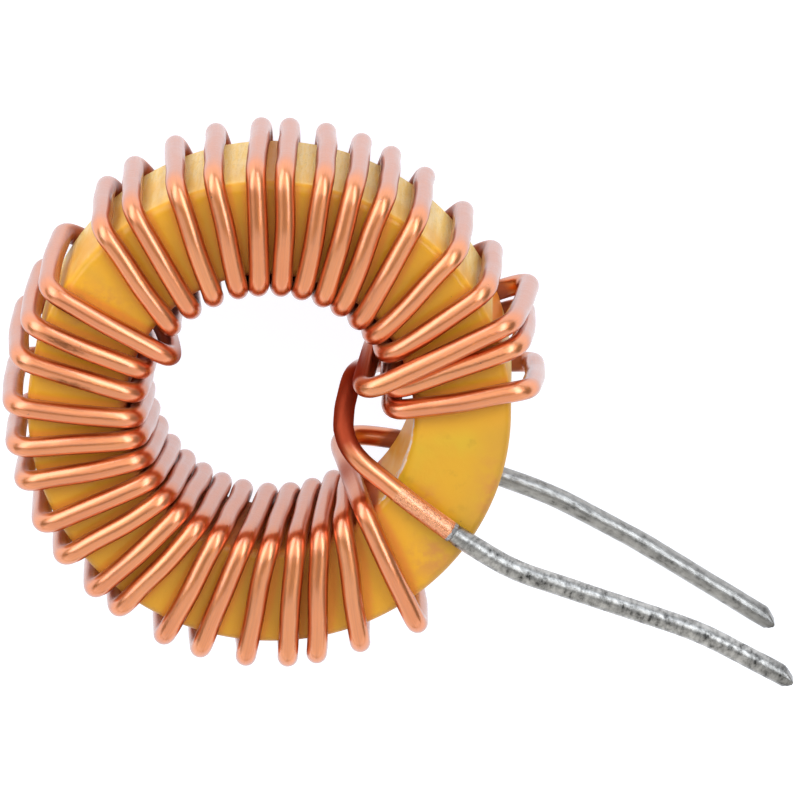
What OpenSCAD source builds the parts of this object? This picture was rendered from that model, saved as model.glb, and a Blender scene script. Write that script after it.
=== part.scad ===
// Toroidal inductor: one enamelled copper wire wound by hand round a coated iron powder ring.
// Both ends of the wire leave on the same side and are tinned for soldering to a board.
// The ring lies flat on the strands of its underside, with Z up. The origin is on the ring's
// axis at the height that those strands rest on. Sizes are in millimetres, angles in degrees.

/* [Core] */
// Outside diameter of the coated ring
core_od = 23.9; // [20:0.1:26]
// Diameter of the hole through the ring
core_id = 14.2; // [13.9:0.1:16]
// Height of the ring
core_h = 7.9; // [5:0.1:12]
// Radius of the four rounded edges of the ring
core_edge_r = 0.5; // [0.2:0.1:1]

/* [Wire] */
// Diameter of the copper wire with its enamel
wire_d = 1.02; // [0.7:0.01:1.03]
// Number of turns that cross the top of the ring
turns = 32; // [26:1:32]
// Gap between a strand and the flat face that it crosses
face_gap = 0.05; // [0.02:0.01:0.2]
// Gap between a strand and the outer wall of the ring
rim_gap = 0.2; // [0.1:0.01:0.4]
// Gap between a strand and the wall of the ring's hole
bore_gap = 0.08; // [0.05:0.01:0.15]

/* [Leads] */
// Length of the straight run that the upper lead ends in
upper_tail = 5.9; // [3:0.1:12]
// Length of the straight run that the lower lead ends in
lower_tail = 5.8; // [3:0.1:12]
// Direction of the upper lead's last run, turned from +X
upper_tail_angle = -27.5; // [-40:0.5:-10]
// Direction of the lower lead's last run, turned from +X
lower_tail_angle = -32.5; // [-45:0.5:-20]
// Thickness of the tin on the bare copper
tin_t = 0.04; // [0.03:0.01:0.08]
// Thickness of the enamel, which ends where the tin starts
enamel_t = 0.03; // [0.02:0.01:0.05]
// Length of the wedge that the cutters left at each tip
wedge_l = 0.8; // [0.4:0.1:1.2]
// Width of the edge that the wedge ends in
wedge_edge = 0.25; // [0.1:0.05:0.4]
// How far that edge lies to the right of the middle line, seen from above
wedge_off = 0.2; // [0:0.05:0.3]

/* [Hidden] */
$fn = 48;

wire_r = wire_d / 2;
bare_r = wire_r - enamel_t;
tin_r = bare_r + tin_t;

// Heights of the strands' middle lines below and above the ring, and of the ring's underside
low = wire_r;
core_z = wire_d + face_gap;
high = core_z + core_h + face_gap + wire_r;

// Distances of the strands' middle lines from the axis, at the rim and in the hole
rim_r = core_od / 2 + rim_gap + wire_r;
bore_r = core_id / 2 - bore_gap - wire_r;

// A turn bends round the ring's edges a little more loosely than they are rounded
bend_r = core_edge_r + wire_r + 0.2;

// The wire draws thinner round a bend, and each straight runs this far into the next bend
bend_thin = 0.005;
run_in = 0.04;

// Where the turns lie. Turn 1 starts at the lower lead and turn 32 ends at the upper one, and
// each list gives an angle round the ring at some of the turns, with even steps in between.
bore_angle = [[1, 315], [7, 248], [14, 180.5], [21, 102.5], [30, 19], [31, 13.5], [32, 3.5]];
rim_angle = [[1, 304], [2, 292], [17, 149], [18, 130], [22, 92.5], [27, 54.5], [30, 22.5],
    [31, 17], [32, 7]];
// How far each strand was pushed off its even step at the rim
rim_push = [0, -1.5, -2, 1, 1, 0, 1, -1.5, 1, 0, 0.5, -1, 0, 0, -1.5, 0, 0, 0, 1, -0.5, 0, 0,
    1, 0, 0.5, 1, 0, -1, -1.5, 0, 0, 0];
// How far a turn leans along the ring on its way down the rim, and down the hole
rim_lean = [[1, -1], [12, -1.5], [17, -3], [18, 1], [20, 2], [22, 0], [24, 0.5], [25, -1],
    [29, -2], [30, -3.5], [31, -3], [32, -6.2]];
bore_lean = [[2, 3.5], [6, 9], [17, 8.5], [24, 9], [29, 9.5], [30, 9.2], [31, 5.2], [32, 6]];
// How far loose turns stand off the ring's walls, beyond the usual gap
rim_slack_top = [[1, 0.6], [2, 0.15], [7, 0.15], [8, 0], [29, 0],
    [30, 0.3], [32, 0.3]];
rim_slack_low = [[12, 0], [14, 0.25], [15, 0.25], [16, 0], [29, 0], [30, 1], [31, 0.35], [32, 0.45]];
bore_slack_top = [[1, -0.1], [2, 0], [16, 0], [17, 1], [18, 0], [29, 0], [30, 1.8], [31, 0.45], [32, 0.55]];
// How far a strand is lifted where it crosses over its neighbour
bore_lift = [[29, 0], [30, 1], [31, 0]];

// The leads' bends: x, y, height of the middle line, and bend radius. The tails are tinned, so
// the lower one rises a little off the surface that the strands rest on.
lower_tail_bends = [[20, -10.3, low + 0.2, 2], [13.2, -6.65, low + 0.05, 3]];
lower_inner_bends = [[6.3, -3.95, low, 2], [3.1, -3.6, low, 1.2]];
upper_inner_bends = [
    [5, 0.1, low, 1.2], [4, 1.4, low + 0.7 * (high - low), 2], [3.45, -0.7, high - 0.6, 2.5],
    [4.5, -2.2, high, 1.5]];
upper_tail_bends = [[9.4, -6.1, high, 3], [12.2, -7.75, high, 3], [20.6, -10.75, high, 3]];
// How far before the first of its tail's bends each lead's tin starts
lower_tin_run = 2.3;
upper_tin_run = 0.4;

function on_ring(r, angle, z) = [r * cos(angle), r * sin(angle), z];
function spot(corner) = [corner.x, corner.y, corner.z];
function unit(v) = v / norm(v);

// A turn's place in the lists above, also where the number of turns differs from theirs
function place(turn) = 1 + (turn - 1) * (len(rim_push) - 1) / (turns - 1);

// The four corners of a turn, each a point on the wire's middle line with its bend radius
function bore_low(p) =
    concat(on_ring(bore_r, lookup(p, bore_angle) + lookup(p, bore_lean), low), bend_r);
function bore_top(p) = concat(
    on_ring(bore_r - lookup(p, bore_slack_top), lookup(p, bore_angle), high + lookup(p, bore_lift)),
    bend_r);
function rim_top_angle(p) = lookup(p, rim_angle) + rim_push[round(p) - 1];
function rim_top(p) =
    concat(on_ring(rim_r + lookup(p, rim_slack_top), rim_top_angle(p), high), bend_r);
function rim_low(p) = concat(
    on_ring(rim_r + lookup(p, rim_slack_low), rim_top_angle(p) + lookup(p, rim_lean), low), bend_r);

// The end of a tail, and where its tin starts on the way in from an inner bend
function tail_end(bend, angle, length) =
    [bend.x + length * cos(angle), bend.y + length * sin(angle), bend.z, 0];
function tin_start(bend, inner, length) =
    concat(spot(bend) - unit(spot(bend) - spot(inner)) * length, 0);

// A tail's path, from where its tin starts to the tip. Its copper stops short of the wedge, and
// runs into the enamelled wire at the other end.
function lower_tail_path(short = 0, early = 0) = concat(
    [tin_start(lower_tail_bends[1], lower_inner_bends[0], lower_tin_run + early)],
    [lower_tail_bends[1], lower_tail_bends[0]],
    [tail_end(lower_tail_bends[0], lower_tail_angle, lower_tail - short)]);
function upper_tail_path(short = 0, early = 0) = concat(
    [tin_start(upper_tail_bends[0], upper_inner_bends[3], upper_tin_run + early)],
    upper_tail_bends,
    [tail_end(upper_tail_bends[2], upper_tail_angle, upper_tail - short)]);

// The enamelled wire: the lower lead comes in under the ring and rises as turn 1, and the last
// turn ends in the upper lead
turn_corners = [for (turn = [1:turns]) let (p = place(turn)) each concat(
    turn > 1 ? [bore_low(p)] : [], [bore_top(p), rim_top(p), rim_low(p)])];
wire_path = concat(
    [lower_tail_path()[0]], lower_inner_bends, turn_corners, upper_inner_bends,
    [upper_tail_path()[0]]);

// Direction from one corner of a path to the next, and the angle that the wire turns at a corner
function heading(path, i) = unit(spot(path[i + 1]) - spot(path[i]));
function swing(path, i) = acos(heading(path, i - 1) * heading(path, i));

// How far from its corner a bend begins, and none at the ends of the path
function reach(path, i) =
    i == 0 || i == len(path) - 1 ? 0 : path[i][3] * tan(swing(path, i) / 2);
function overlap(path, i) = i == 0 || i == len(path) - 1 ? 0 : run_in;

// The straight from one corner's bend to the next
module straight(path, i, r) {
    way = heading(path, i);
    start = reach(path, i) - overlap(path, i);
    end = reach(path, i + 1) - overlap(path, i + 1);
    translate(spot(path[i]) + way * start)
        rotate([0, acos(way.z), atan2(way.y, way.x)])
        cylinder(h = norm(spot(path[i + 1]) - spot(path[i])) - start - end, r = r);
}

// The bend at a corner, turned about the centre of its arc
module bend(path, i, r) {
    y = heading(path, i - 1);
    z = unit(cross(y, heading(path, i)));
    x = cross(y, z);
    begin = spot(path[i]) - y * reach(path, i);
    centre = begin - x * path[i][3];
    multmatrix([
        [x.x, y.x, z.x, centre.x], [x.y, y.y, z.y, centre.y], [x.z, y.z, z.z, centre.z]])
        rotate_extrude(angle = swing(path, i))
        translate([path[i][3], 0])
        circle(r = r - bend_thin);
}

// A round wire along a path
module wire(path, r) {
    for (i = [0:len(path) - 2]) {
        straight(path, i, r);
        if (i > 0) bend(path, i, r);
    }
}

module lower_tail_copper() {
    wire(lower_tail_path(wedge_l, run_in), bare_r);
}

module upper_tail_copper() {
    wire(upper_tail_path(wedge_l, run_in), bare_r);
}

// Half of the ring's section, with its four corners rounded
module core_section() {
    wall = (core_od - core_id) / 2;
    inset = core_edge_r;
    translate([core_id / 2, core_z + inset]) square([wall, core_h - 2 * inset]);
    translate([core_id / 2 + inset, core_z]) square([wall - 2 * inset, core_h]);
    for (x = [inset, wall - inset], z = [inset, core_h - inset])
        translate([core_id / 2 + x, core_z + z]) circle(r = inset);
}

module core() {
    color("goldenrod") rotate_extrude() core_section();
}

// One wire from tip to tip, with its enamel taken off both tails
module winding() {
    color("peru") {
        wire(wire_path, wire_r);
        lower_tail_copper();
        upper_tail_copper();
    }
}

// What the cutters took off a tip that lies at the origin and points along +X
module cutter_waste() {
    side = 2 * tin_r;
    linear_extrude(height = 2 * side, center = true)
        polygon([
            [-wedge_l, side], [-wedge_l, tin_r], [0, wedge_edge / 2 - wedge_off],
            [0, -wedge_edge / 2 - wedge_off], [-wedge_l / 2, -tin_r], [-wedge_l / 2, -side],
            [side, -side], [side, side]]);
}

// Solid tin along a tail, with its tip cut to a wedge
module tin_stick(path, angle) {
    tip = path[len(path) - 1];
    difference() {
        wire(path, tin_r);
        translate(spot(tip)) rotate(angle) cutter_waste();
    }
}

module upper_lead_tin() {
    color("darkgray") difference() {
        tin_stick(upper_tail_path(), upper_tail_angle);
        upper_tail_copper();
    }
}

module lower_lead_tin() {
    color("darkgray") difference() {
        tin_stick(lower_tail_path(), lower_tail_angle);
        lower_tail_copper();
    }
}

core();
winding();
upper_lead_tin();
lower_lead_tin();
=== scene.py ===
# Toroidal inductor: the finish of its coated ring, its enamelled copper wire and its tinned leads,
# with some light and shade painted into their colours.
# The sizes follow those of the imported model, in millimetres, and the meshes are made in metres.
from math import radians

import bpy
import numpy as np
from mathutils import Matrix, Vector


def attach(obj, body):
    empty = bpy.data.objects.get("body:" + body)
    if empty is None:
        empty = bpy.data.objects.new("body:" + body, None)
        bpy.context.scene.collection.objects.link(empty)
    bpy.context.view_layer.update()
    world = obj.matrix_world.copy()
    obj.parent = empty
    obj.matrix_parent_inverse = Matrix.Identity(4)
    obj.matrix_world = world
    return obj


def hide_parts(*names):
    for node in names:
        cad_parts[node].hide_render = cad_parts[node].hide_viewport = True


mm = 0.001

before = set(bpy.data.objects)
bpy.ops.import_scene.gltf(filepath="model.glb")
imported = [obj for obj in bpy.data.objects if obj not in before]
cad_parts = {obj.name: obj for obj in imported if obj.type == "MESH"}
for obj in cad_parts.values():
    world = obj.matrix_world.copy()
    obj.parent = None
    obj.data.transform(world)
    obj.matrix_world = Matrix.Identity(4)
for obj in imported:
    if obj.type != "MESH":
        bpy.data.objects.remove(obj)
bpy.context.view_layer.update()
print("frame loaded:", ", ".join(sorted(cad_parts)))


def along(points, place):
    # straight steps between (place, value) pairs
    places, values = zip(*points)
    return np.interp(place, places, values)


def ringPoint(radius, angle, height):
    # (r cos a, r sin a, z), with the angle in degrees
    turned = np.radians(angle)
    return np.stack([radius * np.cos(turned), radius * np.sin(turned), height + 0 * turned], -1)


def polar(points):
    # distance from the axis, angle in degrees from -180 to 180, and height
    x, y, z = points.T
    return np.hypot(x, y), np.degrees(np.arctan2(y, x)), z


def unit(v):
    # v / |v|
    return v / np.linalg.norm(v, axis=-1, keepdims=True)


def easedStep(start, full, x):
    # 0 before the start and 1 past the full place, with t t (3 - 2 t) between, either way round
    t = np.clip((x - start) / (full - start), 0, 1)
    return t * t * (3 - 2 * t)


def rollingNoise(x, y, size, seed):
    # a sum of sine waves in seeded directions, about -1 to 1, with bumps about `size` across
    rng = np.random.RandomState(seed)
    total = 0 * (x + y)
    waves = 9
    shortest, longest = 0.8, 2.4
    for _ in range(waves):
        heading = rng.uniform(0, 2 * np.pi)
        pitch = 2 * np.pi / (size * rng.uniform(shortest, longest))
        phase = rng.uniform(0, 2 * np.pi)
        total = total + np.sin(pitch * (x * np.cos(heading) + y * np.sin(heading)) + phase)
    return total / np.sqrt(1.5 * waves)


def newPiece(name, points, faces, uv=None, marks=None):
    # one mesh from arrays: points in mm, the corners of each face, and for each point a uv and marks
    mesh = bpy.data.meshes.new(name)
    mesh.from_pydata((points * mm).tolist(), [], faces)
    mesh.polygons.foreach_set("use_smooth", np.ones(len(mesh.polygons), bool))
    corners = np.zeros(len(mesh.loops), int)
    mesh.loops.foreach_get("vertex_index", corners)
    if uv is not None:
        layer = mesh.uv_layers.new(name="alongWire")
        layer.data.foreach_set("uv", uv[corners].astype(np.float32).ravel())
    for label, values in (marks or {}).items():
        attribute = mesh.attributes.new(label, "FLOAT", "POINT")
        attribute.data.foreach_set("value", values.astype(np.float32))
    mesh.update()
    piece = bpy.data.objects.new(name, mesh)
    bpy.context.scene.collection.objects.link(piece)
    return piece


def gridFaces(rows, columns):
    # quads between rows of points, with the last column joined to the first
    row = np.arange(rows - 1)[:, None] * columns
    column = np.arange(columns)[None, :]
    after = (column + 1) % columns
    quads = np.stack([row + column, row + after, row + columns + after, row + columns + column], -1)
    return quads.reshape(-1, 4)


core = {
    "inner": 7.1,
    "outer": 11.95,
    "height": 7.9,
    "edge": 0.5,  # radius of its four rounded edges
    "around": 480,
    "edgePoints": 9,
    "straightPoints": 14,
    "sunk": 0.02,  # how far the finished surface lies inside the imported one
}

winding = {
    "turns": 32,
    "wireRadius": 0.51,
    "faceGap": 0.05,  # from a strand to the ring's flat faces
    "rimGap": 0.2,
    "boreGap": 0.08,
    "bendRadius": 0.9,  # before the easing below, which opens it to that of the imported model
    # (turn, angle round the ring), with even steps between
    "boreAngle": [(1, 315), (7, 248), (14, 180.5), (21, 102.5), (30, 19), (31, 13.5), (32, 3.5)],
    "rimAngle": [(1, 304), (2, 292), (17, 149), (18, 130), (22, 92.5), (27, 54.5), (30, 22.5),
                 (31, 17), (32, 7)],
    # how far each strand was pushed off its even step at the rim
    "rimPush": [0, -1.5, -2, 1, 1, 0, 1, -1.5, 1, 0, 0.5, -1, 0, 0, -1.5, 0, 0, 0, 1, -0.5, 0, 0,
                1, 0, 0.5, 1, 0, -1, -1.5, 0, 0, 0],
    # degrees by which a turn's lower end lies further round the ring, at the rim and in the hole
    "rimLean": [(1, -1), (11, -1.5), (12, 2.5), (13, 1.9), (14, 0.9), (15, -1.4), (16, -2.7),
                (17, -3), (18, 1), (20, 2), (22, 0), (24, 0.5), (25, -1), (29, -2), (30, -3.5),
                (31, -3), (32, -6.2)],
    "boreLean": [(2, 3.5), (6, 9), (17, 8.5), (24, 9), (29, 9.5), (30, 9.2), (31, 5.2), (32, 6)],
    # how far loose turns stand off the ring's walls, beyond the usual gap
    "rimSlackTop": [(1, 0.6), (2, 0.15), (7, 0.15), (8, 0), (29, 0), (30, 0.3), (32, 0.3)],
    "rimSlackLow": [(12, 0), (14, 0.25), (15, 0.25), (16, 0), (29, 0), (30, 1), (31, 0.35),
                    (32, 0.45)],
    "boreSlackTop": [(1, -0.1), (2, 0), (16, 0), (17, 1), (18, 0), (29, 0), (30, 1.8), (31, 0.45),
                     (32, 0.55)],
    # how far a strand is lifted where it crosses over its neighbour
    "boreLift": [(29, 0), (30, 1), (31, 0)],
    "sides": 24,
    "arcStep": 8.0,  # degrees
    "straightStep": 0.36,
    "easing": 0.45,  # how gently the wire runs into its bends
    "easingStep": 0.1,
    "bow": 0.16,  # how far a strand of usual length stands off a straight line at its middle
    "bowSpread": 0.35,  # share by which that differs from strand to strand
    "bowSeed": 7,
    "sideBow": 0.5,  # share of the bow on the upright strands
    "steep": 0.6,  # how much of its run such a strand rises by, at least
    "flatUnder": 0.3,  # no bow up to this far over the middle of the strands under the ring
    "usualStrand": 5.0,  # length from which a strand bows in full
    "wander": 0.05,
    "wanderSize": 4.5,
    "wanderSeed": 3,
}

# what follows from those sizes: the ring's faces, and the middle lines of the strands
wireRadius = winding["wireRadius"]
coreBottom = 2 * wireRadius + winding["faceGap"]
coreTop = coreBottom + core["height"]
lowHeight = wireRadius
highHeight = coreTop + winding["faceGap"] + wireRadius
rimRadius = core["outer"] + winding["rimGap"] + wireRadius
boreRadius = core["inner"] - winding["boreGap"] - wireRadius

leads = {
    # x, y, height and radius of each bend, in the order of the wire's run from the ring outwards
    # in a tail, and from the lower lead to the upper one in the hole
    "lower": {
        "inner": [(6.3, -3.95, lowHeight, 2), (3.1, -3.6, lowHeight, 1.2)],
        "tail": [(14.2, -6.93, 0.6, 16), (18.46, -9.25, 0.7, 20)],
        "angle": -32.3,  # direction of the last run, turned from +X
        "length": 8.08,
        "tinRun": 3.35,  # how far inside its tail's first bend the tin starts
        "lumpSeed": 11,
    },
    "upper": {
        "inner": [(5, 0.1, lowHeight, 1.2), (4, 1.4, 6.6, 2), (3.5, -1.15, 9.05, 2),
                  (4.6, -2.4, highHeight, 1.5)],
        "tail": [(9.4, -6.1, highHeight, 5), (11.89, -7.74, highHeight, 9),
                 (21.35, -10.98, highHeight, 15)],
        "angle": -28.6,
        "length": 5.26,
        "tinRun": 0.4,
        "lumpSeed": 29,
    },
}


def offRing(points):
    # distance to a rectangle with rounded corners, turned about Z: with q the distances past the
    # inner rectangle's sides, |max(q, 0)| + min(max(q), 0) - edge
    radius, _, height = polar(points)
    across = (core["outer"] - core["inner"]) / 2 - core["edge"]
    upward = core["height"] / 2 - core["edge"]
    past = np.abs(radius - (core["inner"] + core["outer"]) / 2) - across
    over = np.abs(height - (coreBottom + coreTop) / 2) - upward
    outside = np.hypot(np.maximum(past, 0), np.maximum(over, 0))
    return outside + np.minimum(np.maximum(past, over), 0) - core["edge"]


def turnAngles():
    # the angle of each turn over the ring, at the hole and at the rim
    turn = np.arange(1, winding["turns"] + 1)
    rim = along(winding["rimAngle"], turn) + winding["rimPush"]
    return turn, along(winding["boreAngle"], turn), rim


def turnCorners():
    # per turn: up the hole, over the ring and down the rim, at radii and angles read from the lists
    w = winding
    turn, bore, rim = turnAngles()
    boreLow = ringPoint(boreRadius, bore + along(w["boreLean"], turn), lowHeight)
    boreTop = ringPoint(boreRadius - along(w["boreSlackTop"], turn), bore,
                        highHeight + along(w["boreLift"], turn))
    rimTop = ringPoint(rimRadius + along(w["rimSlackTop"], turn), rim, highHeight)
    rimLow = ringPoint(rimRadius + along(w["rimSlackLow"], turn),
                       rim + along(w["rimLean"], turn), lowHeight)
    corners = np.stack([boreLow, boreTop, rimTop, rimLow], 1).reshape(-1, 3)[1:]
    return np.column_stack([corners, np.full(len(corners), w["bendRadius"])])


def tailPath(lead, inner):
    # from where the tin starts, on the way from the inner bend, through the tail's bends to the tip
    bends = np.array(lead["tail"], float)
    start = bends[0, :3] - unit(bends[0, :3] - inner[:3]) * lead["tinRun"]
    turned = radians(lead["angle"])
    tip = bends[-1, :3] + lead["length"] * np.array([np.cos(turned), np.sin(turned), 0])
    return np.vstack([np.append(start, 0), bends, np.append(tip, 0)])


lowerPath = tailPath(leads["lower"], leads["lower"]["inner"][0])
upperPath = tailPath(leads["upper"], leads["upper"]["inner"][-1])


def turnedBy(v, axis, angle):
    # v cos a + (k x v) sin a + k (k.v)(1 - cos a)
    return (v * np.cos(angle) + np.cross(axis, v) * np.sin(angle)
            + axis * (axis @ v) * (1 - np.cos(angle)))


def bentLine(corners, arcStep, straightStep):
    # Straights joined by arcs that touch both: for a corner that turns by s with radius R, the arc
    # starts R tan(s/2) before it and is c + R(cos t, sin t) for t in 0..s. Returns the points, a
    # side vector carried along without twist, and for each point its share of the straight it is on
    # with that straight's length.
    spots, bends = corners[:, :3], corners[:, 3]
    ways = unit(np.diff(spots, axis=0))
    side = unit(np.cross(ways[0], [0.3, 0.2, 1.0]))  # any direction square to the first way
    points, sides, shares = [], [], []
    reachBefore = 0.0
    for i, way in enumerate(ways):
        last = i == len(ways) - 1
        swing = 0.0 if last else np.arccos(np.clip(way @ ways[i + 1], -1, 1))
        reach = bends[i + 1] * np.tan(swing / 2)
        length = np.linalg.norm(spots[i + 1] - spots[i]) - reachBefore - reach
        count = max(2, int(np.ceil(length / straightStep)))
        share = np.arange(count) / count
        points.append(spots[i] + way * (reachBefore + length * share)[:, None])
        sides.append(np.repeat(side[None], count, 0))
        shares.append(np.column_stack([share, np.full(count, length)]))
        if last:
            points.append(spots[-1][None])
            sides.append(side[None])
            shares.append(np.array([[1.0, length]]))
            break
        axis = unit(np.cross(way, ways[i + 1]))
        inward = np.cross(axis, way)
        begin = spots[i + 1] - way * reach
        count = max(3, int(np.ceil(np.degrees(swing) / arcStep)))
        t = swing * np.arange(count)[:, None] / count
        points.append(begin + bends[i + 1] * (np.sin(t) * way + (1 - np.cos(t)) * inward))
        sides.append(turnedBy(side, axis, t))
        shares.append(np.zeros((count, 2)))
        side = turnedBy(side, axis, swing)
        reachBefore = reach
    return np.vstack(points), np.vstack(sides), np.vstack(shares)


def runAlong(line):
    # the distance along the line to each of its points
    return np.concatenate([[0], np.cumsum(np.linalg.norm(np.diff(line, axis=0), axis=1))])


def tube(line, sides, radius, around, squeeze=None):
    # A round profile carried along a line: p + r (u cos a + v sin a), where u and v stand square to
    # the line. `radius` may be one number or a grid, and `squeeze` may move the finished grid. The
    # uv is the distance round the wire, the same down both its sides, and the distance along it.
    tangent = unit(np.gradient(line, axis=0))
    u = unit(sides - tangent * (sides * tangent).sum(1, keepdims=True))
    v = np.cross(tangent, u)
    a = np.arange(around) * 2 * np.pi / around
    radius = radius * np.ones((len(line), around))
    ring = np.cos(a)[None, :, None] * u[:, None] + np.sin(a)[None, :, None] * v[:, None]
    grid = line[:, None] + radius[..., None] * ring
    if squeeze is not None:
        grid = squeeze(grid)
    run = runAlong(line)
    faces = gridFaces(len(line), around).tolist()
    # both ends are closed by triangles round a middle point
    first = np.arange(around)
    last = first + (len(line) - 1) * around
    count = len(line) * around
    points = np.vstack([grid.reshape(-1, 3), grid[0].mean(0), grid[-1].mean(0)])
    faces += np.column_stack([np.full(around, count), np.roll(first, -1), first]).tolist()
    faces += np.column_stack([np.full(around, count + 1), last, np.roll(last, -1)]).tolist()
    uv = np.stack(np.broadcast_arrays(np.abs(a - np.pi)[None] * wireRadius, run[:, None]), -1)
    uv = np.vstack([uv.reshape(-1, 2), [[0, run[0]]], [[0, run[-1]]]])
    return points, faces, uv


def eased(line, spread, step):
    # the line smoothed along itself by a bell curve, which takes the jump out of its curvature
    run = runAlong(line)
    margin = 4 * spread
    bellReach = 3 * spread
    even = np.arange(-margin, run[-1] + margin, step)
    bell = np.exp(-0.5 * (np.arange(-bellReach, bellReach + step / 2, step) / spread) ** 2)
    bell /= bell.sum()
    smooth = [np.convolve(np.interp(even, run, axis), bell, "same") for axis in line.T]
    softened = np.stack([np.interp(run, even, axis) for axis in smooth], -1)
    nearEnd = easedStep(0, margin, np.minimum(run, run[-1] - run))[:, None]
    return line + (softened - line) * nearEnd


def bows(line, shares):
    # each strand over the ring stands off it by b sin(pi t)^2 along its length, and the wire
    # wanders a little from side to side
    w = winding
    share, length = shares.T
    rng = np.random.RandomState(w["bowSeed"])
    strand = np.cumsum(np.diff(share, prepend=0) < 0)
    height = 1 + w["bowSpread"] * rng.uniform(-1, 1, strand.max() + 1)
    fullness = np.clip(length / w["usualStrand"], 0, 1)
    bow = w["bow"] * height[strand] * np.sin(np.pi * share) ** 2 * fullness
    radius = np.hypot(line[:, 0], line[:, 1])
    slope = unit(np.gradient(line, axis=0))
    climbs = np.abs(slope[:, 2]) > w["steep"]
    outward = np.column_stack([line[:, :2] / radius[:, None], 0 * radius])
    outward = outward * np.sign(radius - (rimRadius + boreRadius) / 2)[:, None]
    up = np.array([0, 0, 1.0]) * np.sign(line[:, 2:] - (lowHeight + highHeight) / 2)
    away = np.where(climbs[:, None], outward * w["sideBow"], up)
    aboveFloor = line[:, 2] > lowHeight + w["flatUnder"]
    run = runAlong(line)
    hair = 1e-6  # keeps the two from lying along each other
    sideways = unit(np.cross(slope, away + hair))
    wander = w["wander"] * rollingNoise(run, 0 * run, w["wanderSize"], w["wanderSeed"])
    return away * (bow * (aboveFloor | climbs))[:, None] + sideways * wander[:, None]


wearAndPaintedLight = {
    "scraped": 3.9,  # how much of the upper lead is bare before its tin
    "scrapedFade": 1.0,
    "tinReach": 0.36,  # how far tin may run up the wire
    # dark marks on the upper strands: x and y
    "darkMarks": [(-10.15, 5.6), (-10.0, 3.9), (-9.7, 1.9), (-8.4, -0.55)],
    "darkMarkLength": 1.3,
    "darkMarkWidth": 0.2,
    # the bends into the hole, with a painted red reflection of the copper round them: distance from
    # the axis and height
    "redReflectionRadius": 6.3,
    "redReflectionHeight": 9.6,
    "redReflectionSpread": 0.6,
    "redReflectionShare": 0.6,
    # The lead's rise through the hole, with painted dark red shade. Each pair from here on gives
    # where a mark is none and where it is full.
    "holeShadeRadius": (5.9, 5.0),
    "holeShadeHeight": (4.0, 6.5),
    "holeShadeEnd": (9.95, 9.5),
    # painted pale sheen, standing in for reflected light, where the surface stands upright: as a
    # share of the wire's radius from its middle line
    "uprightLift": (0.7, 0.15),
    "uprightOffRing": (0.7, 0.95),
    "uprightHeight": (6.5, 9.7),  # between these heights it loses the share below
    "uprightLoss": 0.5,
}


def paintedHoleParts(points):
    # masks of painted light in the hole: a bell round the bends into it for the red reflection, and
    # the lead's rise through it for the dark shade
    radius, _, height = polar(points)
    past = (radius - wearAndPaintedLight["redReflectionRadius"]) / wearAndPaintedLight["redReflectionSpread"]
    over = (height - wearAndPaintedLight["redReflectionHeight"]) / wearAndPaintedLight["redReflectionSpread"]
    bends = wearAndPaintedLight["redReflectionShare"] * np.exp(-past ** 2 - over ** 2)
    rise = easedStep(*wearAndPaintedLight["holeShadeRadius"], radius) * easedStep(*wearAndPaintedLight["holeShadeHeight"], height)
    return bends, rise * easedStep(*wearAndPaintedLight["holeShadeEnd"], height)


def paleSheenParts(points, line):
    # the mask of the painted pale sheen, by how upright the wire's surface stands: 1 level with its
    # middle line and 0 on top of it, and none at the two points that close its ends
    lift = (points[:-2, 2].reshape(-1, winding["sides"]) - line[:, 2:]).ravel() / wireRadius
    paleSheen = np.append(easedStep(*wearAndPaintedLight["uprightLift"], np.abs(lift)), [0, 0])
    loss = wearAndPaintedLight["uprightLoss"] * easedStep(*wearAndPaintedLight["uprightHeight"], points[:, 2])
    return paleSheen * (1 - loss) * easedStep(*wearAndPaintedLight["uprightOffRing"], offRing(points))


def darkMarkedParts(points, line):
    # round each spot a bell, exp(-(u/length)^2 - (v/width)^2), with u along the strand under it
    over = line[:, 2] > highHeight - wireRadius / 2
    ways = unit(np.gradient(line, axis=0))
    marked = np.zeros(len(points))
    for spot in wearAndPaintedLight["darkMarks"]:
        past = points[:, :2] - spot
        nearest = np.argmin(np.where(over, np.hypot(*(line[:, :2] - spot).T), np.inf))
        onward, sideways = ways[nearest, :2], ways[nearest, 1::-1] * [1, -1]
        stretch = (past @ onward / wearAndPaintedLight["darkMarkLength"]) ** 2
        stretch = stretch + (past @ sideways / wearAndPaintedLight["darkMarkWidth"]) ** 2
        marked = np.maximum(marked, np.exp(-stretch) * (points[:, 2] > highHeight))
    return marked


def wirePiece():
    # a round tube along the eased and bowed line, from one lead's tin to the other's
    w = winding
    corners = np.vstack([lowerPath[0], leads["lower"]["inner"], turnCorners(),
                         leads["upper"]["inner"], upperPath[0]])
    line, sides, shares = bentLine(corners, w["arcStep"], w["straightStep"])
    line = eased(line, w["easing"], w["easingStep"]) + bows(line, shares)
    points, faces, uv = tube(line, sides, wireRadius, w["sides"])
    bends, rise = paintedHoleParts(points)
    run = uv[:, 1]
    toUpperTin = run.max() - run
    return newPiece("winding_wire", points, faces, uv, {
        "offRing": offRing(points),
        "scraped": easedStep(wearAndPaintedLight["scraped"], wearAndPaintedLight["scraped"] - wearAndPaintedLight["scrapedFade"], toUpperTin),
        "tinned": np.clip(1 - np.minimum(toUpperTin, run) / wearAndPaintedLight["tinReach"], 0, 1),
        "darkMarked": darkMarkedParts(points, line),
        "redReflection": bends,
        "holeShade": rise,
        "paleSheen": paleSheenParts(points, line)})


wire = wirePiece()
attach(wire, "root")
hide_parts("winding")
print("wire:", len(wire.data.polygons), "faces")

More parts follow.
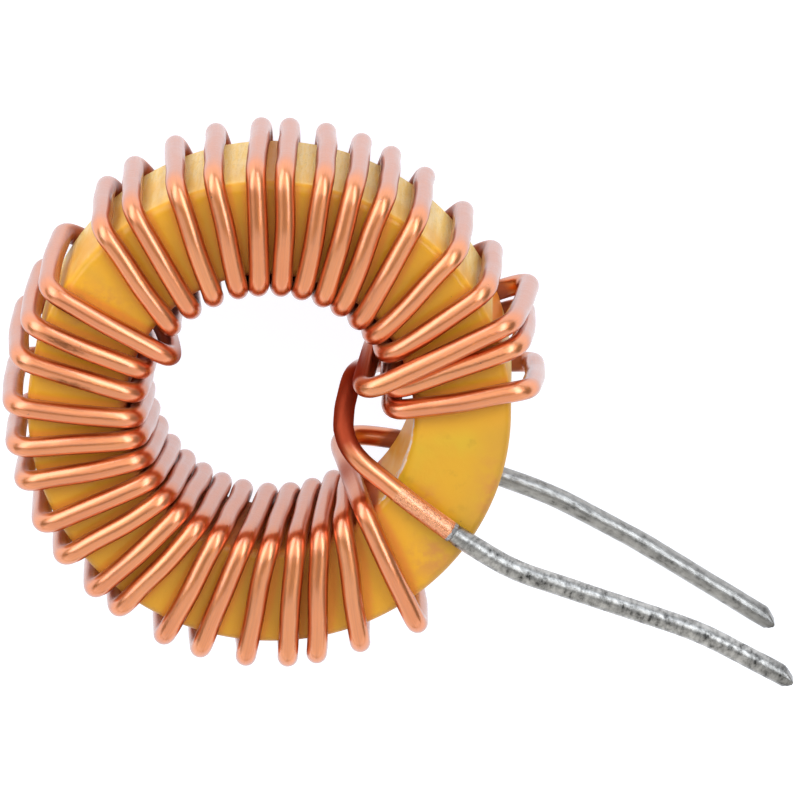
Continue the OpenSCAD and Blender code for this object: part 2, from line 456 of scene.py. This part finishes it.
tin = {
    "radius": 0.52,
    "sides": 28,
    "arcStep": 6.0,  # degrees
    "straightStep": 0.16,
    "lump": 0.02,
    "lumpSize": 1.9,
    "ripple": 0.35,  # height of the finer lumps against the others
    "rippleSize": 0.6,
    "noiseRadius": 0.5,  # of the circle round the lead on which both are read
    "thinStart": 0.035,  # how much thinner the tin starts
    "thinRun": 0.5,
    "wedge": 0.75,  # length of the longer cutter mark, on the side towards +Y
    "shortWedge": 0.35,
    "edge": 0.16,
    "edgeShift": 0.04,
    "dullTip": 2.6,
}


def tinRadius(run, around, seed):
    # radius plus lumps and finer ripples; both noises slide with height, so no two sides are alike
    a = np.arange(around) * 2 * np.pi / around
    x = run[:, None] + 0 * a
    y = tin["noiseRadius"] * np.sin(a) + 0 * x
    z = tin["noiseRadius"] * np.cos(a) + 0 * x
    lumps = rollingNoise(x + 2 * z, y - 2 * z, tin["lumpSize"], seed)
    lumps = lumps + tin["ripple"] * rollingNoise(x, y + 5 * z, tin["rippleSize"], seed + 1)
    radius = tin["radius"] - tin["lump"] / 2 + tin["lump"] / 2 * lumps
    return radius - tin["thinStart"] * (1 - easedStep(0, tin["thinRun"], x))


def leadPiece(name, path, lead):
    # a tube of the radii above along the lead's own line, squeezed to an edge at its tip
    line, sides, _ = bentLine(path, tin["arcStep"], tin["straightStep"])
    radius = tinRadius(runAlong(line), tin["sides"], lead["lumpSeed"])
    tip = path[-1, :3]
    turned = radians(lead["angle"])
    forward = np.array([np.cos(turned), np.sin(turned), 0])
    left = np.array([-np.sin(turned), np.cos(turned), 0])

    def cutTip(grid):
        # between the two cutter marks, a long one and a short one, which close in on the edge
        t = (grid - tip) @ forward
        s = (grid - tip) @ left
        r = tin["radius"]
        upper = tin["edge"] / 2 - tin["edgeShift"]
        lower = -tin["edge"] / 2 - tin["edgeShift"]
        top = r + (upper - r) * np.clip((t + tin["wedge"]) / tin["wedge"], 0, 1)
        bottom = -r + (lower + r) * np.clip((t + tin["shortWedge"]) / tin["shortWedge"], 0, 1)
        cut = np.where(t > -tin["wedge"], np.clip(s, bottom, top) - s, 0)
        return grid + cut[..., None] * left

    points, faces, uv = tube(line, sides, radius, tin["sides"], squeeze=cutTip)
    toTip = uv[:, 1].max() - uv[:, 1]
    piece = newPiece(name + "_tinned", points, faces, uv, {
        "nearTip": 1 - easedStep(0, tin["dullTip"], toTip)})
    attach(piece, "root")
    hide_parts(name + "_tin")
    return piece


lowerLead = leadPiece("lower_lead", lowerPath, leads["lower"])
upperLead = leadPiece("upper_lead", upperPath, leads["upper"])
print("leads:", len(lowerLead.data.polygons) + len(upperLead.data.polygons), "faces")

# each pair gives where a mark on the coating is none and where it is full
coat = {
    "copperLightNearWire": (2.4, 0.8),  # distances from the closest turn
    "shadeBesideWire": (0.8, 0.5),
    "unshadedWall": (1.15, 0.7),
    "hemmedCopperLight": (1.55, 1.35),  # distances between two turns
    "rimward": (9.6, 11.8),  # distances from the axis
    "facing": (0.2, 0.8),  # how far a surface faces inwards, or away from straight up or down
    "seamHeight": (8.45, 8.75),
    "seamStrength": 1.3,
    "upperHeight": (4.5, 8.4),
    "upperStrength": 0.8,
    "upperThinner": 0.3,  # how much less of it there is past the second of the angles below
    "upperAngle": (40, 80),
    "leftAngle": (105, 135),
    "leftHeight": (2, 5),
    "chipStrength": 0.5,
    "chipRadius": (7.3, 7.15),
    "chipAngle": (-50, -38),
    "chipAngleEnd": (8, -4),
    "chipHeight": (6.6, 8.3),
    "chipHeightEnd": (8.95, 8.8),
    "rimLineStrength": 0.7,
    "rimLineRadius": (11.84, 11.92),
    "rimLineSide": (2, -2),
    "rimLineHeight": (8.5, 8.7),
    # x, y, width and length of each smear
    "smears": [(8.2, -7.3, 1.1, 1.2), (11.2, -4.6, 0.8, 2.2), (7.6, -4.4, 0.7, 0.6),
               (-8.6, 5.4, 1.4, 1.2)],
}


def offWire(points):
    # along the ring, the distance to the closest turn, each taken straight from bore to rim, and
    # that from the closest turn to the next
    _, bore, rim = turnAngles()
    radius, angle, _ = polar(points)
    share = (radius[:, None] - boreRadius) / (rimRadius - boreRadius)
    apart = (angle[:, None] - bore - (rim - bore) * share + 180) % 360 - 180
    apart = np.sort(np.radians(np.abs(apart)) * radius[:, None], axis=1)
    return apart[:, 0], apart[:, 0] + apart[:, 1]


def glazedParts(points):
    # how much yellow coating lies on the side walls: all over the bore, and outside near the top,
    # lower down on the left, and along the seam with the upper face
    radius, angle, height = polar(points)
    seam = coat["seamStrength"] * easedStep(*coat["seamHeight"], height)
    upper = coat["upperStrength"] - coat["upperThinner"] * easedStep(*coat["upperAngle"], angle)
    upper = upper * easedStep(*coat["upperHeight"], height)
    fullTurn = np.where(angle < -90, angle + 360, angle)
    leftward = easedStep(*coat["leftAngle"], fullTurn) * easedStep(*coat["leftHeight"], height)
    inside = radius < core["inner"] + 2 * core["edge"]
    return np.where(inside, 1.0, np.maximum(np.maximum(upper, leftward), seam))


def smearedParts(points):
    # orange-brown smears on the open part of the upper face, each a bell exp(-u^2 - v^2)
    total = np.zeros(len(points))
    for x, y, width, length in coat["smears"]:
        u = (points[:, 0] - x) / width
        v = (points[:, 1] - y) / length
        total = np.maximum(total, np.exp(-u ** 2 - v ** 2))
    return total


def chippedParts(points):
    # the edge of the bore beside the leads, where the coating is broken and pale
    radius, angle, height = polar(points)
    reach = easedStep(*coat["chipAngle"], angle) * easedStep(*coat["chipAngleEnd"], angle)
    band = easedStep(*coat["chipHeight"], height) * easedStep(*coat["chipHeightEnd"], height)
    return coat["chipStrength"] * easedStep(*coat["chipRadius"], radius) * reach * band


def rimLineParts(points):
    # painted shade on the outer edge of the upper face, on the side towards -Y
    radius, _, height = polar(points)
    line = easedStep(*coat["rimLineRadius"], radius) * easedStep(*coat["rimLineSide"], points[:, 1])
    return coat["rimLineStrength"] * line * easedStep(*coat["rimLineHeight"], height)


def coreSection():
    # four quarter circles, from the lower outer edge upwards and round, with straights between
    e = core["edge"]
    centres = [(core["outer"] - e, coreBottom + e, -90), (core["outer"] - e, coreTop - e, 0),
               (core["inner"] + e, coreTop - e, 90), (core["inner"] + e, coreBottom + e, 180)]
    quarter = np.radians(np.linspace(0, 90, core["edgePoints"]))
    arcs = []
    for x, z, start in centres:
        t = quarter + radians(start)
        arcs.append(np.column_stack([x + e * np.cos(t), z + e * np.sin(t)]))
    share = np.linspace(0, 1, core["straightPoints"])[1:-1, None]
    section = []
    for arc, after in zip(arcs, arcs[1:] + arcs[:1]):
        section += [arc, arc[-1] + (after[0] - arc[-1]) * share]
    return np.vstack(section)


def corePiece():
    # the section turned about Z, (r cos a, r sin a, z), and sunk a little along its normal; the row
    # of points after the last is the first again
    section = coreSection()
    around = core["around"]
    angle = (np.arange(around) * 2 * np.pi / around)[:, None]
    r, z = section.T
    outward, upward = unit(np.column_stack([np.gradient(z), -np.gradient(r)])).T
    r, z = r - core["sunk"] * outward, z - core["sunk"] * upward
    grid = np.stack([r * np.cos(angle), r * np.sin(angle), z + 0 * angle], -1)
    faces = gridFaces(around + 1, len(section)) % (around * len(section))
    points = grid.reshape(-1, 3)
    away, gap = offWire(points)
    boreWall = np.tile(easedStep(*coat["facing"], -outward), around)
    return newPiece("core_coated", points, faces[:, ::-1].tolist(), marks={
        "copperLightNearWire": easedStep(*coat["copperLightNearWire"], away),
        "shadeBesideWire": easedStep(*coat["shadeBesideWire"], away),
        "unshadedWall": np.maximum(easedStep(*coat["unshadedWall"], away), boreWall),
        "rimward": easedStep(*coat["rimward"], np.hypot(points[:, 0], points[:, 1])),
        "glazed": glazedParts(points),
        "hemmedCopperLight": easedStep(*coat["hemmedCopperLight"], gap),
        "smeared": smearedParts(points),
        "chipped": chippedParts(points),
        "rimEdgeShade": rimLineParts(points),
        "boreWall": boreWall,
        "wall": np.tile(1 - easedStep(*coat["facing"], np.abs(upward)), around)})


ring = corePiece()
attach(ring, "root")
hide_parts("core")
print("ring:", len(ring.data.polygons), "faces")


def addNode(tree, kind, inputs=None, **settings):
    # one shader node; an input given as a socket is linked, any other value is set
    made = tree.nodes.new("ShaderNode" + kind)
    for label, value in settings.items():
        setattr(made, label, value)
    for socket, value in (inputs or {}).items():
        if isinstance(value, bpy.types.NodeSocket):
            tree.links.new(value, made.inputs[socket])
        else:
            made.inputs[socket].default_value = value
    return made


def newMaterial(name, **settings):
    material = bpy.data.materials.new(name)
    material.use_nodes = True
    tree = material.node_tree
    shader = tree.nodes["Principled BSDF"]
    for label, value in settings.items():
        shader.inputs[label.replace("_", " ")].default_value = value
    return material, tree, shader


def grey(value):
    return (value, value, value, 1)


def ramp(tree, factor, stops):
    # colours or greys at places along the factor
    made = addNode(tree, "ValToRGB", {"Fac": factor})
    elements = made.color_ramp.elements
    while len(elements) < len(stops):
        elements.new(0.5)
    for element, (place, colour) in zip(elements, stops):
        element.position = place
        element.color = (*colour, 1) if isinstance(colour, tuple) else grey(colour)
    return made.outputs["Color"]


def inMillimetres(tree, stretch, own):
    # the wire's own (distance round it, distance along it), or object coordinates
    if own:
        place = addNode(tree, "UVMap", uv_map="alongWire").outputs["UV"]
        scale = stretch
    else:
        place = addNode(tree, "TexCoord").outputs["Object"]
        scale = tuple(s / mm for s in stretch)
    return addNode(tree, "Mapping", {"Vector": place, "Scale": scale}).outputs["Vector"]


def pattern(tree, scale=1.0, detail=2.0, roughness=0.5, stretch=(1, 1, 1), own=True, stops=None):
    # noise with about `scale` times `stretch` waves a millimetre, and what its stops turn it into
    made = addNode(tree, "TexNoise", {"Vector": inMillimetres(tree, stretch, own), "Scale": scale,
                                      "Detail": detail, "Roughness": roughness})
    return ramp(tree, made.outputs["Fac"], stops) if stops else made.outputs["Fac"]


def measured(tree, label):
    # one of the marks kept at the mesh's own points
    return addNode(tree, "Attribute", attribute_name=label).outputs["Fac"]


def combined(tree, operation, first, second, **settings):
    return addNode(tree, "Math", {0: first, 1: second}, operation=operation, **settings).outputs[0]


def torn(tree, amount, edge, blur):
    # 0 to 1 with a ragged border, where the amount and the noise at its edge add up to 1
    return ramp(tree, combined(tree, "ADD", amount, edge), [(1 - blur, 0.0), (1.0, 1.0)])


def mixColour(tree, factor, first, second, blend="MIX"):
    made = addNode(tree, "MixRGB", {"Fac": factor, "Color1": first, "Color2": second},
                   blend_type=blend)
    return made.outputs["Color"]


def tinted(tree, tone, look, labels):
    # the tone taken to the look's colour of the same name, by each mark in turn
    for label in labels:
        tone = mixColour(tree, measured(tree, label), tone, look[label])
    return tone


def bump(tree, height, strength, depth, before=None):
    # strength and depth in mm, on top of an earlier bump
    inputs = {"Height": height, "Strength": strength, "Distance": depth * mm}
    if before is not None:
        inputs["Normal"] = before
    return addNode(tree, "Bump", inputs).outputs["Normal"]


copperLook = {
    "edgeTint": (0.45, 0.38, 0.4, 1),
    "shaded": (0.40, 0.115, 0.045, 1),  # painted shade on the wire's sides close to the ring, where it is also dull
    "paleSheen": (0.80, 0.30, 0.14, 1),  # painted pale sheen where its surface stands upright
    # painted red reflection of the copper round the bends into the hole
    "redReflection": (0.97, 0.235, 0.07, 1),
    # painted dark red shade on the lead's rise through the hole
    "holeShade": (0.40, 0.062, 0.024, 1),
    "darkBrown": (0.24, 0.08, 0.03, 1),
    # noise round the wire and along it
    "tones": {"stretch": (0.5, 0.12, 1),
              "stops": [(0.35, (0.85, 0.236, 0.047)), (0.65, (0.90, 0.286, 0.063))]},
    "drawn": {"stretch": (9, 0.35, 1), "detail": 3, "roughness": 0.6},  # fine lines along it
    "spots": {"scale": 2.6, "detail": 4, "roughness": 0.55, "stops": [(0.70, 0.0), (0.76, 1.0)]},
    "markStreaks": {"stretch": (14, 3, 1), "detail": 3, "roughness": 0.7},
    "grit": {"stretch": (7, 3.5, 1), "detail": 4, "roughness": 0.7},
    "border": {"scale": 2.2, "detail": 3, "roughness": 0.6},  # of the scraped and tinned parts
    "dents": {"scale": 0.9, "detail": 1},
    "grain": {"scale": 5.0, "detail": 3, "roughness": 0.6},
    # what the noise and the distance off the ring stand for
    "drawnShade": [(0.3, 0.86), (0.6, 1.0)],
    "darkMarkShare": [(0.14, 0.0), (0.42, 0.85)],
    "clearOfRing": [(0.52, 0.0), (0.82, 1.0)],
    "bareCopper": [(0.36, (0.70, 0.23, 0.09)), (0.50, (0.95, 0.41, 0.20))],
    "tinSpeckle": [(0.36, 0.16), (0.54, 0.5)],
    "scrapedBlur": 0.25,
    "tinnedBlur": 0.05,
    "scrapedDull": 0.6,  # how much of its clear coat a scraped part loses
    "roughness": (0.26, 0.38),
    "holeShadeRoughness": 0.55,
    "bareRoughness": 0.27,
    "tinnedRoughness": 0.26,
    "coatRoughness": 0.2,
    # strength and depth in mm
    "drawnBump": (0.5, 0.012),
    "dentBump": (0.6, 0.06),
    "grainBump": (0.7, 0.02),
    "pitDepth": 0.05,
}


def enamelMaterial():
    look = copperLook
    material, tree, shader = newMaterial(
        "copperEnamel", Coat_IOR=2.05, Specular_Tint=look["edgeTint"],
        Coat_Roughness=look["coatRoughness"])
    # the copper under its enamel
    drawn = pattern(tree, **look["drawn"])
    tone = pattern(tree, **look["tones"])
    tone = mixColour(tree, 1.0, tone, ramp(tree, drawn, look["drawnShade"]), "MULTIPLY")
    tone = mixColour(tree, pattern(tree, **look["spots"]), tone, look["darkBrown"])
    # painted light and shade: a pale sheen where the surface stands upright, a red reflection at the
    # bends into the hole, and dark shade on the lead's rise through it
    tone = tinted(tree, tone, look, ["paleSheen", "redReflection", "holeShade"])
    # dark marks along the upper strands, which also lose their clear coat
    darkMarks = combined(tree, "MULTIPLY", measured(tree, "darkMarked"), pattern(tree, **look["markStreaks"]))
    darkMarks = ramp(tree, darkMarks, look["darkMarkShare"])
    tone = mixColour(tree, darkMarks, tone, look["darkBrown"])
    # painted shade on the wire's sides close to the ring, which are also made dull there: no metal
    # and no clear coat
    clear = ramp(tree, measured(tree, "offRing"), look["clearOfRing"])
    tone = mixColour(tree, clear, look["shaded"], tone)
    # bare copper before the tin, and the ragged start of the tin
    grit = pattern(tree, **look["grit"])
    border = pattern(tree, **look["border"])
    scraped = torn(tree, measured(tree, "scraped"), border, look["scrapedBlur"])
    tone = mixColour(tree, scraped, tone, ramp(tree, grit, look["bareCopper"]))
    tinned = torn(tree, measured(tree, "tinned"), border, look["tinnedBlur"])
    tone = mixColour(tree, tinned, tone, ramp(tree, grit, look["tinSpeckle"]))
    tree.links.new(tone, shader.inputs["Base Color"])
    gloss = addNode(tree, "MapRange", {"Value": drawn, "To Min": look["roughness"][0],
                                       "To Max": look["roughness"][1]}).outputs["Result"]
    gloss = mixColour(tree, measured(tree, "holeShade"), gloss, grey(look["holeShadeRoughness"]))
    gloss = mixColour(tree, scraped, gloss, grey(look["bareRoughness"]))
    gloss = mixColour(tree, tinned, gloss, grey(look["tinnedRoughness"]))
    tree.links.new(gloss, shader.inputs["Roughness"])
    # the enamel is a clear coat that is gone or dull in places
    dull = combined(tree, "MULTIPLY", scraped, look["scrapedDull"])
    dull = combined(tree, "MAXIMUM", dull, darkMarks)
    dull = combined(tree, "MAXIMUM", dull, measured(tree, "holeShade"))
    enamel = combined(tree, "SUBTRACT", clear, dull, use_clamp=True)
    tree.links.new(enamel, shader.inputs["Coat Weight"])
    tree.links.new(clear, shader.inputs["Metallic"])
    normal = bump(tree, drawn, *look["drawnBump"])
    normal = bump(tree, pattern(tree, **look["dents"]), *look["dentBump"], normal)
    normal = bump(tree, pattern(tree, **look["grain"]), *look["grainBump"], normal)
    normal = bump(tree, grit, scraped, look["pitDepth"], normal)
    tree.links.new(normal, shader.inputs["Normal"])
    return material


tinLook = {
    "tint": (1.0, 0.975, 0.915),
    "tip": 0.62,  # how dark the last of each lead is against the rest
    "coarse": {"scale": 1.5, "detail": 4, "roughness": 0.65},
    "grain": {"detail": 4, "roughness": 0.7},
    "grainShare": 0.45,
    "places": (0.38, 0.46, 0.58),  # where the noise is dark, middle and bright
    "roughness": (0.42, 0.26),
    "grainBump": (0.7, 0.03),  # strength and depth in mm
    "coarseBump": (0.5, 0.06),
    "front": {"stretch": (2.0, 3.2, 1), "greys": (0.06, 0.29, 0.52)},
    "back": {"stretch": (3.6, 0.7, 1), "greys": (0.14, 0.31, 0.43)},
}


def tinMaterial(name, stretch, greys):
    look = tinLook
    material, tree, shader = newMaterial(name, Metallic=1.0)
    coarse = pattern(tree, **look["coarse"])
    grain = pattern(tree, stretch=stretch, **look["grain"])
    both = mixColour(tree, look["grainShare"], coarse, grain)
    tint = np.array(look["tint"])
    tone = ramp(tree, both, [(place, tuple(tint * g)) for place, g in zip(look["places"], greys)])
    dull = ramp(tree, measured(tree, "nearTip"), [(0.0, 1.0), (1.0, look["tip"])])
    tone = mixColour(tree, 1.0, tone, dull, "MULTIPLY")
    tree.links.new(tone, shader.inputs["Base Color"])
    gloss = addNode(tree, "MapRange", {"Value": coarse, "To Min": look["roughness"][0],
                                       "To Max": look["roughness"][1]})
    tree.links.new(gloss.outputs["Result"], shader.inputs["Roughness"])
    normal = bump(tree, grain, *look["grainBump"])
    normal = bump(tree, coarse, *look["coarseBump"], normal)
    tree.links.new(normal, shader.inputs["Normal"])
    return material


coatingLook = {
    "rimward": (0.55, 0.28, 0.020, 1),
    "copperLightNearWire": (0.72, 0.345, 0.014, 1),  # painted copper-coloured light between the turns, paler and more orange
    # painted contact shade beside the turns, reddened by the copper
    "shadeBesideWire": (0.74, 0.265, 0.034, 1),
    "glazed": (0.93, 0.46, 0.03, 1),
    "openWallShade": (0.84, 0.80, 0.78, 1),  # painted shade: how much darker the wall is away from the turns
    "bore": (0.85, 0.25, 0.06, 1),  # painted copper-red light in the hole, between the turns
    "hemmedCopperLight": (0.95, 0.32, 0.03, 1),  # painted copper-red light on the wall where two turns stand close together
    "smear": (0.52, 0.20, 0.04, 1),
    # painted shade along the rim's edge on the side towards -Y
    "rimEdgeShade": (0.40, 0.235, 0.04, 1),
    "chip": (0.82, 0.74, 0.62, 1),
    "crack": (0.45, 0.30, 0.14, 1),
    "pit": (0.22, 0.10, 0.02, 1),
    # noise on the flat faces
    "cloud": {"scale": 0.28, "detail": 3, "roughness": 0.6,
              "stops": [(0.38, (0.60, 0.312, 0.013)), (0.6, (0.58, 0.355, 0.016))]},
    "smudges": {"scale": 1.1, "detail": 4, "roughness": 0.6, "stops": [(0.58, 1.0), (0.72, 0.86)]},
    "smears": {"scale": 1.3, "detail": 4, "roughness": 0.65, "stops": [(0.42, 0.0), (0.62, 0.9)]},
    "pits": {"scale": 4.5, "stops": [(0.78, 0.0), (0.82, 1.0)]},
    "peel": {"scale": 1.6, "detail": 3, "roughness": 0.6},
    "chips": {"scale": 1.7, "detail": 4, "roughness": 0.65},
    "chipBlur": 0.12,
    # noise drawn out upright on the side walls
    "streaks": {"stretch": (4.5, 4.5, 0.5), "detail": 4, "roughness": 0.65,
                "stops": [(0.40, (0.96, 0.68, 0.19)), (0.58, (0.98, 0.77, 0.34))]},
    "cracks": {"stretch": (2.2, 2.2, 0.9), "detail": 4, "roughness": 0.6,
               "stops": [(0.49, 0.0), (0.5, 0.4), (0.51, 0.0)]},
    "patches": {"stretch": (1.1, 1.1, 0.4), "detail": 3, "roughness": 0.6,
                "stops": [(0.35, 0.7), (0.6, 1.0)]},
    "glaze": [(0.0, 0.45), (1.0, 0.05)],  # clear coat on the faces and on the walls
    "peelBump": (0.5, 0.06),  # strength and depth in mm
}


def coatingMaterial():
    look = coatingLook
    material, tree, shader = newMaterial("yellowCoating", Roughness=0.5, Coat_Roughness=0.12,
                                         Coat_IOR=1.5, Specular_IOR_Level=0.2)

    def onRing(label):
        return pattern(tree, own=False, **look[label])

    # the flat faces
    tone = mixColour(tree, 1.0, onRing("cloud"), onRing("smudges"), "MULTIPLY")
    # painted copper light between the turns, and painted contact shade right beside them
    tone = tinted(tree, tone, look, ["rimward", "copperLightNearWire", "shadeBesideWire"])
    smears = combined(tree, "MULTIPLY", onRing("smears"), measured(tree, "smeared"))
    tone = mixColour(tree, smears, tone, look["smear"])
    # the side walls
    plaster = mixColour(tree, onRing("cracks"), onRing("streaks"), look["crack"])
    glazed = combined(tree, "MULTIPLY", measured(tree, "glazed"), onRing("patches"))
    plaster = mixColour(tree, glazed, plaster, look["glazed"])
    # painted shade on the open wall, away from the turns and the hole
    shade = mixColour(tree, measured(tree, "unshadedWall"), look["openWallShade"], grey(1))
    plaster = mixColour(tree, 1.0, plaster, shade, "MULTIPLY")
    # painted copper-red light on the wall where two turns stand close
    plaster = tinted(tree, plaster, look, ["hemmedCopperLight"])
    tone = mixColour(tree, measured(tree, "wall"), tone, plaster)
    # edges, the hole and small damage: painted shade on the rim's edge, painted copper-red light in
    # the hole, then chips and pits
    tone = tinted(tree, tone, look, ["rimEdgeShade"])
    # painted copper-red light in the hole, beside the turns
    boreCopperLight = combined(tree, "MULTIPLY", measured(tree, "boreWall"), measured(tree, "shadeBesideWire"))
    tone = mixColour(tree, boreCopperLight, tone, look["bore"])
    chips = torn(tree, measured(tree, "chipped"), onRing("chips"), look["chipBlur"])
    tone = mixColour(tree, chips, tone, look["chip"])
    tone = mixColour(tree, onRing("pits"), tone, look["pit"])
    tree.links.new(tone, shader.inputs["Base Color"])
    glaze = ramp(tree, measured(tree, "wall"), look["glaze"])
    glaze = mixColour(tree, measured(tree, "shadeBesideWire"), glaze, grey(0))
    tree.links.new(glaze, shader.inputs["Coat Weight"])
    normal = bump(tree, onRing("peel"), *look["peelBump"])
    tree.links.new(normal, shader.inputs["Normal"])
    tree.links.new(normal, shader.inputs["Coat Normal"])
    return material


wire.data.materials.append(enamelMaterial())
lowerLead.data.materials.append(tinMaterial("streakyTin", **tinLook["back"]))
upperLead.data.materials.append(tinMaterial("wrinkledTin", **tinLook["front"]))
ring.data.materials.append(coatingMaterial())
print("materials:", len(bpy.data.materials))

studio = {
    "floorSize": 3000.0,
    "floorDrop": 0.002,  # how far the floor lies under the strands that rest on it
    "floorColour": 0.8,
    "floorGlow": (0.9, 0.92, 0.98),  # what camera and reflections see on the lit floor, 1 is white
    "floorLit": 0.24,  # and how pale they see its light and shadow
    "worldStrength": 0.22,
    # Each lamp faces the part from halfway between two directions, given in degrees towards +X and
    # towards +Y from overhead, and is as long as the chord between them at its distance. Brightness
    # 1 is white where the lamp is mirrored.
    "lamps": {
        "tubeLeft": {"start": (-54, -5), "end": (-43, 84), "width": 270, "brightness": 1.4,
                     "tint": (0.9, 1, 1.15)},
        "tubeRight": {"start": (36, -12), "end": (31, 76), "width": 160, "brightness": 2.0,
                      "tint": (0.9, 1, 1.15)},
        "boxLeft": {"start": (-55, -10), "end": (-48, 70), "width": 540, "brightness": 0.45,
                    "tint": (0.95, 1, 1.1)},
        "boxRight": {"start": (38, -10), "end": (30, 64), "width": 260, "brightness": 0.6,
                     "tint": (0.95, 1, 1.1)},
        "topBox": {"start": (-4, 14), "end": (5, 52), "width": 1300, "brightness": 0.36},
        "overheadCard": {"start": (0, 1), "end": (0, 60), "width": 1700, "brightness": 0.47},
        "nearCard": {"start": (0, -93), "end": (0, 0), "width": 1900, "brightness": 0.7},
        "farCard": {"start": (0, 60), "end": (0, 93), "width": 1900, "brightness": 0.5,
                    "tint": (0.9, 0.98, 1.12)},
        "wingLeft": {"start": (-80, -85), "end": (-80, -14), "width": 300, "brightness": 0.3},
        "wingRight": {"start": (78, -85), "end": (78, -26), "width": 300, "brightness": 0.3},
        "fillBar": {"start": (-58, 27), "end": (46, 27), "width": 200, "brightness": 2.25,
                    "mirrored": False},
    },
    "lampDistance": 500.0,
    "widerBehind": 0.05,  # share of its width by which a lamp stands further off
}


def floorPiece():
    # a flat square that shows paler to the camera and in reflections than it lights the part
    half = studio["floorSize"] / 2
    points = half * np.array([[-1, -1, 0], [1, -1, 0], [1, 1, 0], [-1, 1, 0]])
    floor = newPiece("studio_floor", points - [0, 0, studio["floorDrop"]], [[0, 1, 2, 3]])
    material, tree, shader = newMaterial("whiteFloor")
    tree.nodes.remove(shader)
    seen = addNode(tree, "LightPath").outputs
    shown = seen["Is Camera Ray"]
    for ray in ("Is Glossy Ray", "Is Transmission Ray"):
        shown = combined(tree, "MAXIMUM", shown, seen[ray])
    plain = addNode(tree, "BsdfDiffuse", {"Color": grey(studio["floorColour"])})
    faint = addNode(tree, "BsdfDiffuse", {"Color": grey(studio["floorLit"])})
    glow = addNode(tree, "Emission", {"Color": (*studio["floorGlow"], 1)})
    bright = addNode(tree, "AddShader", {0: faint.outputs[0], 1: glow.outputs[0]})
    mix = addNode(tree, "MixShader", {0: shown, 1: plain.outputs[0], 2: bright.outputs[0]})
    tree.links.new(mix.outputs[0], tree.nodes["Material Output"].inputs["Surface"])
    floor.data.materials.append(material)


def lampDirection(right, up):
    # the direction (sin u cos v, sin v, cos u cos v), with u towards +X and v towards +Y
    u, v = radians(right), radians(up)
    return Vector((np.sin(u) * np.cos(v), np.sin(v), np.cos(u) * np.cos(v)))


def makeLamp(name, start, end, width, brightness, tint=(1, 1, 1), mirrored=True):
    # its power is pi times its area times its brightness
    first, last = lampDirection(*start), lampDirection(*end)
    middle = (first + last).normalized()
    across = (last - first).cross(middle).normalized()
    reach = studio["lampDistance"] + studio["widerBehind"] * width
    lamp = bpy.data.lights.new(name, "AREA")
    lamp.shape = "RECTANGLE"
    lamp.color = tint
    lamp.size = width * mm
    lamp.size_y = (last - first).length * reach * mm
    lamp.energy = np.pi * lamp.size * lamp.size_y * brightness
    holder = bpy.data.objects.new(name, lamp)
    bpy.context.scene.collection.objects.link(holder)
    holder.matrix_world = (Matrix.Translation(middle * reach * mm)
                           @ Matrix((across, middle.cross(across), middle)).transposed().to_4x4())
    holder.visible_camera = False
    holder.visible_glossy = mirrored


floorPiece()

world = bpy.data.worlds.new("studio")
world.use_nodes = True
background = world.node_tree.nodes["Background"]
background.inputs["Color"].default_value = grey(1)
background.inputs["Strength"].default_value = studio["worldStrength"]
bpy.context.scene.world = world

for name, lampSettings in studio["lamps"].items():
    makeLamp(name, **lampSettings)

lens = {
    "focal": 360.0,
    "sensor": 36.0,
    "tilt": 17.75,  # degrees from overhead towards +Y
    "lean": 0.98,  # and towards +X
    "offset": (-6.392, 0.454, -397.9),  # the middle of the ring in the camera's own frame
    "nearest": 0.01,  # metres
}


def makeCamera():
    cameraData = bpy.data.cameras.new("camera")
    cameraData.lens = lens["focal"]
    cameraData.sensor_width = lens["sensor"]
    cameraData.clip_start = lens["nearest"]
    camera = bpy.data.objects.new("camera", cameraData)
    bpy.context.scene.collection.objects.link(camera)
    toWorld = (Matrix.Rotation(radians(lens["tilt"]), 3, "X")
               @ Matrix.Rotation(-radians(lens["lean"]), 3, "Y")).transposed()
    ringCentre = Vector((0, 0, (coreBottom + coreTop) / 2))
    camera.rotation_mode = "QUATERNION"
    camera.rotation_quaternion = toWorld.to_quaternion()
    camera.location = (ringCentre - toWorld @ Vector(lens["offset"])) * mm
    bpy.context.scene.camera = camera


makeCamera()
bpy.context.scene.view_settings.view_transform = "Standard"
print("studio:", len(studio["lamps"]), "lamps")
